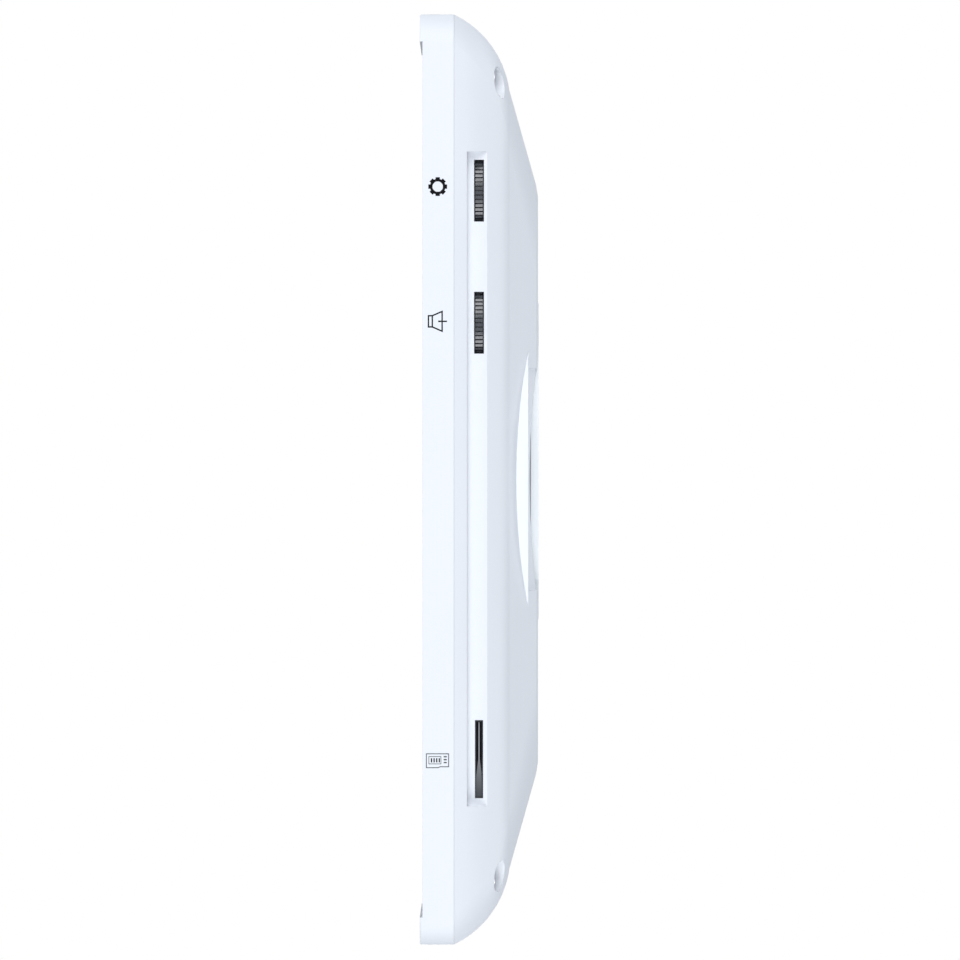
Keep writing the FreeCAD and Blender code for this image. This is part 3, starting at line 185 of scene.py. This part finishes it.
def circuit_board(name, mask, copper):
    """Solder mask over etched tracks, with tinned pads where cells meet."""
    material, tree, shader = new_material(name)
    place = tree.nodes.new("ShaderNodeTexCoord")
    turn = tree.nodes.new("ShaderNodeMapping")
    turn.inputs["Rotation"].default_value = (math.radians(90), 0, 0)
    link(tree, place.outputs["Object"], turn.inputs["Vector"])
    tracks = tree.nodes.new("ShaderNodeTexBrick")
    tracks.inputs["Scale"].default_value = TRACK_SCALE
    tracks.inputs["Mortar Size"].default_value = TRACK_GAP
    tracks.inputs["Brick Width"].default_value = TRACK_LENGTH
    tracks.inputs["Row Height"].default_value = TRACK_PITCH
    link(tree, turn.outputs["Vector"], tracks.inputs["Vector"])
    pads = tree.nodes.new("ShaderNodeTexVoronoi")
    pads.inputs["Scale"].default_value = PAD_SCALE
    link(tree, turn.outputs["Vector"], pads.inputs["Vector"])
    dots = tree.nodes.new("ShaderNodeMath")
    dots.operation = "LESS_THAN"
    dots.inputs[1].default_value = PAD_RADIUS
    link(tree, pads.outputs["Distance"], dots.inputs[0])
    tinted = blend_colours(tree, tracks.outputs["Fac"], mask, scaled(mask, TRACK_TINT))
    link(tree, blend_colours(tree, dots.outputs[0], tinted, copper), shader.inputs["Base Color"])
    link(tree, spread(tree, noise(tree, 900), *MASK_ROUGHNESS), shader.inputs["Roughness"])
    link(tree, dots.outputs[0], shader.inputs["Metallic"])
    bump(tree, shader, tracks.outputs["Fac"], TRACK_RELIEF)
    return material


CELL_SCALE, CELL_DEPTH = 2600, 0.08 * MM


def foam(name, colour):
    """Open foam: small cells in a matt skin, each painted darker towards its sunken middle as
    painted shade.
    """
    material, tree, shader = new_material(name)
    cells = tree.nodes.new("ShaderNodeTexVoronoi")
    cells.inputs["Scale"].default_value = CELL_SCALE
    place = tree.nodes.new("ShaderNodeTexCoord")
    link(tree, place.outputs["Object"], cells.inputs["Vector"])
    depth = spread(tree, cells.outputs["Distance"], 0, 1)
    # Painted shade: the colour follows the cell depth, dark in the sunken hollows and light on the
    # rims.
    tint = blend_colours(tree, depth, scaled(colour, 0.5), scaled(colour, 1.5))
    link(tree, tint, shader.inputs["Base Color"])
    shader.inputs["Roughness"].default_value = 0.9
    bump(tree, shader, cells.outputs["Distance"], CELL_DEPTH)
    return material


MARGIN_X, MARGIN_Z = 5.5 * MM, 7 * MM
PRINTED_BLACK = ((0.008, 0.008, 0.010), (0.011, 0.011, 0.013))
DISPLAY_BLACK = ((0.020, 0.023, 0.030), (0.026, 0.029, 0.036))
ACRYLIC_IOR = 1.49
ACRYLIC_ROUGHNESS = (0.035, 0.075)


def display_panel(name):
    """Clear acrylic printed black on its back, with the dark display behind its window."""
    material, tree, shader = new_material(name)
    low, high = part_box("lcd_bezel")
    place = tree.nodes.new("ShaderNodeTexCoord")
    split = tree.nodes.new("ShaderNodeSeparateXYZ")
    link(tree, place.outputs["Object"], split.inputs["Vector"])
    edges = []
    for axis, limit, mode in (("X", low.x + MARGIN_X, "GREATER_THAN"),
                              ("X", high.x - MARGIN_X, "LESS_THAN"),
                              ("Z", low.z + MARGIN_Z, "GREATER_THAN"),
                              ("Z", high.z - MARGIN_Z, "LESS_THAN")):
        test = tree.nodes.new("ShaderNodeMath")
        test.operation = mode
        test.inputs[1].default_value = limit
        link(tree, split.outputs[axis], test.inputs[0])
        edges.append(test.outputs[0])
    inside = edges[0]
    for edge in edges[1:]:
        both = tree.nodes.new("ShaderNodeMath")
        both.operation = "MULTIPLY"
        link(tree, inside, both.inputs[0])
        link(tree, edge, both.inputs[1])
        inside = both.outputs[0]
    smears = spread(tree, noise(tree, 28, 4, 0.6, (1, 1, 0.5)), 0, 1)
    printed = blend_colours(tree, smears, *PRINTED_BLACK)
    display = blend_colours(tree, smears, *DISPLAY_BLACK)
    link(tree, blend_colours(tree, inside, printed, display), shader.inputs["Base Color"])
    link(tree, spread(tree, smears, *ACRYLIC_ROUGHNESS), shader.inputs["Roughness"])
    shader.inputs["IOR"].default_value = ACRYLIC_IOR
    shader.inputs["Coat Weight"].default_value = 0.6
    shader.inputs["Coat Roughness"].default_value = 0.03
    bump(tree, shader, noise(tree, 90, 1), 0.01 * MM, rounding=0.15 * MM)
    return material


def paint_shade_by_height(material, colour, node, start, end):
    """Fade a material from a colour to its own, between two fractions of one node's height; this
    paints shade along the height.
    """
    tree = material.node_tree
    shader = tree.nodes["Principled BSDF"]
    low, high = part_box(node)
    place = tree.nodes.new("ShaderNodeTexCoord")
    split = tree.nodes.new("ShaderNodeSeparateXYZ")
    ramp = tree.nodes.new("ShaderNodeMapRange")
    ramp.inputs["From Min"].default_value = low.z + start * (high.z - low.z)
    ramp.inputs["From Max"].default_value = low.z + end * (high.z - low.z)
    link(tree, place.outputs["Object"], split.inputs["Vector"])
    link(tree, split.outputs["Z"], ramp.inputs["Value"])
    base = shader.inputs["Base Color"].links[0].from_socket
    faded = blend_colours(tree, ramp.outputs["Result"], colour, base)
    link(tree, faded, shader.inputs["Base Color"])


white_plastic = surface("white_plastic", WHITE, 0.50, grain=5200, depth=0.010 * MM, vary=0.012,
                        patch=35, specular=0.35, rounding=0.12 * MM)
powder_coat = surface("powder_coat", (0.83, 0.86, 0.88), 0.5, grain=3200, depth=0.02 * MM,
                      vary=0.02)
wheel_plastic = surface("wheel_plastic", (0.048, 0.052, 0.062), 0.26, grain=6000, depth=0.005 * MM,
                        vary=0.12, specular=0.75, rounding=0.04 * MM)
black_nylon = surface("black_nylon", (0.035, 0.036, 0.040), 0.5, grain=5000, depth=0.01 * MM,
                      vary=0.15)
grey_nylon = surface("grey_nylon", (0.10, 0.105, 0.115), 0.45, grain=5000, depth=0.01 * MM,
                     vary=0.12)
chip_epoxy = surface("chip_epoxy", (0.02, 0.02, 0.022), 0.55, grain=4200, depth=0.02 * MM, vary=0.2)
ivory_nylon = surface("ivory_nylon", (0.80, 0.77, 0.68), 0.42, grain=4200, depth=0.01 * MM,
                      vary=0.05)
red_nylon = surface("red_nylon", (0.50, 0.035, 0.03), 0.4, grain=4200, depth=0.01 * MM, vary=0.08)
zinc_steel = surface("zinc_steel", (0.62, 0.63, 0.66), 0.3, metal=1.0, grain=3800,
                     depth=0.006 * MM, vary=0.08, rounding=0.08 * MM)
pressed_steel = surface("pressed_steel", (0.66, 0.67, 0.69), 0.33, metal=1.0, grain=1500,
                        depth=0.008 * MM, vary=0.06, stretch=(0.06, 1, 1))
tinned_brass = surface("tinned_brass", (0.80, 0.74, 0.58), 0.25, metal=1.0, grain=5000,
                       depth=0.004 * MM)
can_aluminium = surface("can_aluminium", (0.78, 0.79, 0.80), 0.3, metal=1.0, grain=2600,
                        depth=0.006 * MM)
black_steel = surface("black_steel", (0.03, 0.03, 0.032), 0.45, grain=3600, depth=0.012 * MM,
                      vary=0.1)
cone_paper = surface("cone_paper", (0.03, 0.03, 0.03), 0.85, grain=2800, depth=0.05 * MM, vary=0.25)
seal_rubber = surface("seal_rubber", (0.20, 0.205, 0.215), 0.45, grain=5200, depth=0.008 * MM,
                      vary=0.1, rounding=0.03 * MM)
# Painted shade: the card dust seal darkens towards its lower foot, which sits deeper in the slot,
# standing in for the shade there.
paint_shade_by_height(seal_rubber, (0.055, 0.06, 0.068), "card_dust_seal", 0.05, 0.5)
rubber = surface("rubber", (0.035, 0.035, 0.036), 0.7, grain=4800, depth=0.02 * MM, vary=0.15)
black_foam = foam("black_foam", (0.03, 0.03, 0.03))
polyimide = surface("polyimide", (0.55, 0.27, 0.05), 0.3, grain=2400, depth=0.004 * MM, vary=0.1,
                    coat=0.4)
ribbon_white = surface("ribbon_white", (0.78, 0.80, 0.82), 0.35, grain=1400, depth=0.02 * MM,
                       vary=0.04, stretch=(0.05, 1, 1))
light_guide = surface("light_guide", (0.82, 0.85, 0.90), 0.2, grain=1800, depth=0.006 * MM,
                      vary=0.03)
dark_glass = surface("dark_glass", (0.015, 0.017, 0.024), 0.08, grain=1500, depth=0.001 * MM,
                     coat=0.8)
phosphor = surface("phosphor", (0.85, 0.80, 0.42), 0.3, grain=5000, depth=0.004 * MM)
red_wire = surface("red_wire", (0.48, 0.03, 0.025), 0.45, grain=3000, depth=0.01 * MM, vary=0.1)
black_wire = surface("black_wire", (0.02, 0.02, 0.021), 0.45, grain=3000, depth=0.01 * MM, vary=0.2)
green_board = circuit_board("green_board", (0.012, 0.10, 0.045), (0.72, 0.68, 0.55))
white_board = circuit_board("white_board", (0.70, 0.71, 0.70), (0.75, 0.70, 0.58))
ink = surface("black_ink", (0.004, 0.004, 0.005), 0.6, grain=7000, depth=0.004 * MM, vary=0.2,
              specular=0.1)
grey_ink = surface("grey_ink", (0.11, 0.115, 0.12), 0.6, grain=7000, depth=0.004 * MM, vary=0.2,
                   specular=0.1)
key_ink = surface("key_ink", (0.70, 0.73, 0.76), 0.35, grain=7000, depth=0.004 * MM, vary=0.05)

paint(white_plastic, "front_frame", "rear_shell")
paint(powder_coat, "wall_bracket")
paint(display_panel("display_panel"), "front_panel")
paint(wheel_plastic, "settings_wheel", "volume_wheel")
paint(black_nylon, "settings_carriage", "settings_encoder_base", "push_switch",
      "volume_potentiometer", "card_socket_base", "card_slot_guide", "power_inductor")
paint(grey_nylon, "card_ejector")
paint(chip_epoxy, "processor_chip", "memory_chip", "regulator_chip")
paint(ivory_nylon, "door_1_socket", "door_2_socket", "display_socket", "push_switch_plunger")
paint(red_nylon, "power_socket")
paint(zinc_steel, "case_screws", "board_screws", "control_board_screws", "speaker_magnet",
      "ejector_spring")
paint(pressed_steel, "lcd_bezel", "card_socket_shield")
paint(tinned_brass, "socket_pins")
paint(can_aluminium, "power_capacitors", "microphone")
paint(black_steel, "speaker_frame")
paint(cone_paper, "speaker_cone")
paint(rubber, "microphone_boot")
paint(seal_rubber, "card_dust_seal")
paint(black_foam, "panel_tape", "lcd_gasket", "speaker_gasket")
paint(polyimide, "lcd_flex_cable")
paint(ribbon_white, "board_link_cable")
paint(light_guide, "lcd_backlight")
paint(dark_glass, "lcd_glass")
paint(phosphor, "key_lights")
paint(red_wire, "speaker_lead_red")
paint(black_wire, "speaker_lead_black")
paint(green_board, "main_board", "control_board", "touch_key_board")
paint(white_board, "key_light_board")


def flexing_spring(node):
    """Let a copy of its own mesh, attached to the monitor, stand for a CAD spring, and hide the CAD
    node.
    """
    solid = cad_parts[node]
    piece = bpy.data.objects.new(node + "_flexing", solid.data.copy())
    bpy.context.scene.collection.objects.link(piece)
    piece.matrix_world = solid.matrix_world.copy()
    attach(piece, "monitor")
    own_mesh(piece)
    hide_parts(node)


flexing_spring("ejector_spring")

# ---------------------------------------------------------------- printed symbols

INK_HEIGHT = 0.012 * MM
MITRE_LIMIT = 0.35


def outline_ring(points, width):
    """Offset a closed outline both ways, mitred, and return the quads between."""
    count = len(points)
    inner, outer = [], []
    for index in range(count):
        before = Vector(points[index - 1])
        here = Vector(points[index])
        after = Vector(points[(index + 1) % count])
        first = (here - before).normalized()
        second = (after - here).normalized()
        normal = Vector((first.y + second.y, -first.x - second.x)).normalized()
        reach = width / 2 / max(MITRE_LIMIT, normal.dot(Vector((first.y, -first.x))))
        outer.append(here + normal * reach)
        inner.append(here - normal * reach)
    quads = [(index, (index + 1) % count, count + (index + 1) % count, count + index)
             for index in range(count)]
    return outer + inner, quads


def stroke(points, width):
    """Turn an open line into a flat ribbon of one width."""
    left, right = [], []
    count = len(points)
    for index in range(count):
        here = Vector(points[index])
        ways = []
        if index > 0:
            ways.append((here - Vector(points[index - 1])).normalized())
        if index < count - 1:
            ways.append((Vector(points[index + 1]) - here).normalized())
        way = sum(ways, Vector((0, 0))).normalized()
        normal = Vector((way.y, -way.x))
        reach = width / 2 / max(MITRE_LIMIT, normal.dot(Vector((ways[0].y, -ways[0].x))))
        left.append(here + normal * reach)
        right.append(here - normal * reach)
    quads = [(index, index + 1, count + index + 1, count + index) for index in range(count - 1)]
    return left + right, quads


def filled(points):
    """Turn a closed outline into one flat face."""
    return [Vector(point) for point in points], [tuple(range(len(points)))]


def box_points(x0, y0, x1, y1):
    return [(x0, y0), (x1, y0), (x1, y1), (x0, y1)]


def arc_points(centre, radius, start, end, steps):
    turn = math.radians(end - start)
    return [(centre[0] + radius * math.cos(math.radians(start) + turn * step / steps),
             centre[1] + radius * math.sin(math.radians(start) + turn * step / steps))
            for step in range(steps + 1)]


def circle_points(centre, radius, steps=40):
    return arc_points(centre, radius, 0, 360, steps)[:-1]


def print_symbol(name, shapes, place, material, body="monitor"):
    """Lay flat ink shapes, drawn in millimetres, on a face of the monitor."""
    points, faces = [], []
    for corners, polygons in shapes:
        start = len(points)
        points.extend(place(corner) for corner in corners)
        faces.extend(tuple(start + index for index in polygon) for polygon in polygons)
    mesh = bpy.data.meshes.new(name)
    mesh.from_pydata(points, [], faces)
    mesh.update()
    piece = bpy.data.objects.new(name, mesh)
    bpy.context.scene.collection.objects.link(piece)
    mesh.materials.append(material)
    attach(piece, body)


frame_low, frame_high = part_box("front_frame")
panel_low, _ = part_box("front_panel")
FRONT_LIP = 0.4 * MM
HALF_BAND = 2.35 * MM
BAND_CENTRE = frame_low.y + FRONT_LIP + HALF_BAND


def on_side(height):
    """Place a symbol on the right edge of the front frame: drawing right is towards the wall."""
    def place(corner):
        return (frame_high.x + INK_HEIGHT, BAND_CENTRE + corner[0] * MM, (height + corner[1]) * MM)
    return place


def on_front(across, height):
    """Place a symbol on the front panel, across and up from the middle."""
    def place(corner):
        return (across * MM + corner[0] * MM, panel_low.y - INK_HEIGHT, (height + corner[1]) * MM)
    return place


def gear_shape(teeth=8, tip=1.48, root=1.20, hole=0.81, tooth_width=0.66):
    """A cog with straight teeth, drawn from a tooth that points right."""
    rim, bore = [], []
    pitch = 2 * math.pi / teeth
    root_turn = math.asin(tooth_width / 2 / root)
    tip_turn = math.asin(tooth_width / 2 / tip)
    for tooth in range(teeth):
        for turn, radius in ((-pitch / 2, root), (-root_turn, root), (-tip_turn, tip),
                             (tip_turn, tip), (root_turn, root)):
            angle = pitch * tooth + turn
            rim.append((radius * math.cos(angle), radius * math.sin(angle)))
            bore.append((hole * math.cos(angle), hole * math.sin(angle)))
    count = len(rim)
    quads = [(index, (index + 1) % count, count + (index + 1) % count, count + index)
             for index in range(count)]
    return [Vector(point) for point in rim + bore], quads


SETTINGS_Z = sum(corner.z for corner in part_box("settings_wheel")) / 2 / MM
VOLUME_Z = sum(corner.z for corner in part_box("volume_wheel")) / 2 / MM
CARD_Z = sum(corner.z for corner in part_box("card_slot_guide")) / 2 / MM

SETTINGS_RISE, VOLUME_RISE, CARD_RISE = 0.6, 0.2, -0.2
print_symbol("settings_symbol", [gear_shape()], on_side(SETTINGS_Z + SETTINGS_RISE), ink)
LINE = 0.21
print_symbol("volume_symbol", [
    outline_ring(box_points(-1.42, -0.86, -0.83, 0.86), LINE),
    stroke([(-0.78, 0.88), (0.68, 1.52), (0.68, -1.52), (-0.78, -0.88)], LINE),
    stroke([(0.14, 0), (1.43, 0)], LINE),
    filled(circle_points((0.2, 0), 0.14, 12)),
], on_side(VOLUME_Z + VOLUME_RISE), ink)
FINE_LINE = 0.13
print_symbol("card_symbol", [
    outline_ring([(-1.74, 1.05), (-1.74, -1.08), (0.05, -1.08), (0.35, -0.94), (1.68, -0.94),
                  (1.68, 1.05)], FINE_LINE),
    outline_ring(box_points(-1.36, -0.50, 0.50, 0.62), FINE_LINE * 0.75),
    *[filled(box_points(0.92, bar, 1.40, bar + 0.2)) for bar in (-0.40, 0.05, 0.50)],
], on_side(CARD_Z + CARD_RISE), grey_ink)
print_symbol("card_contact_symbol", [
    filled(box_points(bar, -0.27, bar + 0.2, 0.37)) for bar in (-1.05, -0.65, -0.25, 0.15)
], on_side(CARD_Z + CARD_RISE), ink)

KEY_X = 87
TOP_KEY_Z = 32
KEY_STEP = 16
HANDSET = [(-2.4, 0.6), (-2.4, -0.5), (-1.2, -0.7), (-0.9, 0.1), (0.9, 0.1), (1.2, -0.7),
           (2.4, -0.5), (2.4, 0.6), (1.5, 1.5), (-1.5, 1.5)]
key_symbols = {
    "talk_key_symbol": [outline_ring([(x, y - 0.4) for x, y in HANDSET], 0.3)],
    "unlock_key_symbol": [outline_ring(circle_points((-1.5, 0), 1.05), 0.32),
                          *[stroke(ends, 0.32) for ends in ([(-0.42, 0), (2.6, 0)],
                                                            [(1.6, -0.14), (1.6, -0.95)],
                                                            [(2.44, -0.14), (2.44, -0.95)])]],
    "view_key_symbol": [outline_ring(arc_points((0, -1.9), 3.1, 142, 38, 16)[:-1]
                                     + arc_points((0, 1.9), 3.1, -38, -142, 16)[:-1], 0.28),
                        outline_ring(circle_points((0, 0), 0.72), 0.3)],
    "menu_key_symbol": [filled(box_points(-1.9, 1.0 - 1.15 * bar, 1.9, 1.3 - 1.15 * bar))
                        for bar in range(3)],
    "back_key_symbol": [stroke([(0.9, 1.9), (-1.1, 0), (0.9, -1.9)], 0.34)],
}
for number, (name, shapes) in enumerate(key_symbols.items()):
    print_symbol(name, shapes, on_front(KEY_X, TOP_KEY_Z - KEY_STEP * number), key_ink)

# ---------------------------------------------------------------- floor, light and camera
FLOOR_REACH = 8.0
FLOOR_LEVEL = -4.6
floor_mesh = bpy.data.meshes.new("floor")
floor_mesh.from_pydata([(x, y, FLOOR_LEVEL) for x, y in box_points(-FLOOR_REACH, -FLOOR_REACH,
                                                                   FLOOR_REACH, FLOOR_REACH)],
                       [], [(0, 1, 2, 3)])
floor = bpy.data.objects.new("floor", floor_mesh)
bpy.context.scene.collection.objects.link(floor)
floor_mesh.materials.append(surface("pale_floor", (0.86, 0.87, 0.88), 0.7, grain=400,
                                    depth=0.02 * MM, vary=0.01))

centre = (cad_box[0] + cad_box[1]) / 2


def softbox(name, azimuth, elevation, distance, width, height, power):
    """Hang a soft light facing the monitor; azimuth turns from the right side towards the wall."""
    data = bpy.data.lights.new(name, "AREA")
    data.shape = "RECTANGLE"
    data.size = width
    data.size_y = height
    data.energy = power
    lamp = bpy.data.objects.new(name, data)
    bpy.context.scene.collection.objects.link(lamp)
    turn, rise = math.radians(azimuth), math.radians(elevation)
    away = Vector((math.cos(turn) * math.cos(rise), math.sin(turn) * math.cos(rise),
                   math.sin(rise)))
    lamp.location = centre + away * distance
    lamp.rotation_euler = away.to_track_quat("Z", "Y").to_euler()
    lamp.visible_camera = False


softbox("upper_softbox", azimuth=6, elevation=46, distance=1.8, width=0.9, height=1.7, power=22.8)
softbox("lower_softbox", azimuth=6, elevation=-53, distance=1.8, width=0.9, height=1.7, power=23.4)
softbox("front_softbox", azimuth=-85, elevation=15, distance=1.9, width=1.3, height=1.3, power=16.0)
softbox("rear_softbox", azimuth=122, elevation=5, distance=1.9, width=1.1, height=1.3, power=11.0)

FILL_LIGHT = (0.214, 0.245, 0.284)
REFLECTED_WALLS = (0.70, 0.74, 0.78)
BACKDROP = (1.0, 1.0, 1.0)
world = bpy.data.worlds.new("studio")
world.use_nodes = True
bpy.context.scene.world = world
sky = world.node_tree
paths = sky.nodes.new("ShaderNodeLightPath")
around = blend_colours(sky, paths.outputs["Is Glossy Ray"], FILL_LIGHT, REFLECTED_WALLS)
backdrop = blend_colours(sky, paths.outputs["Is Camera Ray"], around, BACKDROP)
link(sky, backdrop, sky.nodes["Background"].inputs["Color"])

bpy.context.scene.view_settings.view_transform = "Standard"
bpy.context.scene.view_settings.look = "None"

VIEW_SPAN = 0.1475
VIEW_DISTANCE = 6.9
VIEW_Y = -9.05 * MM
VIEW_Z = -0.08 * MM
camera_data = bpy.data.cameras.new("camera")
camera_data.lens = camera_data.sensor_width * VIEW_DISTANCE / VIEW_SPAN
camera_data.clip_end = 20
camera = bpy.data.objects.new("camera", camera_data)
bpy.context.scene.collection.objects.link(camera)
camera.location = (frame_high.x + VIEW_DISTANCE, VIEW_Y, VIEW_Z)
camera.rotation_euler = (math.radians(90), 0, math.radians(90))
bpy.context.scene.camera = camera
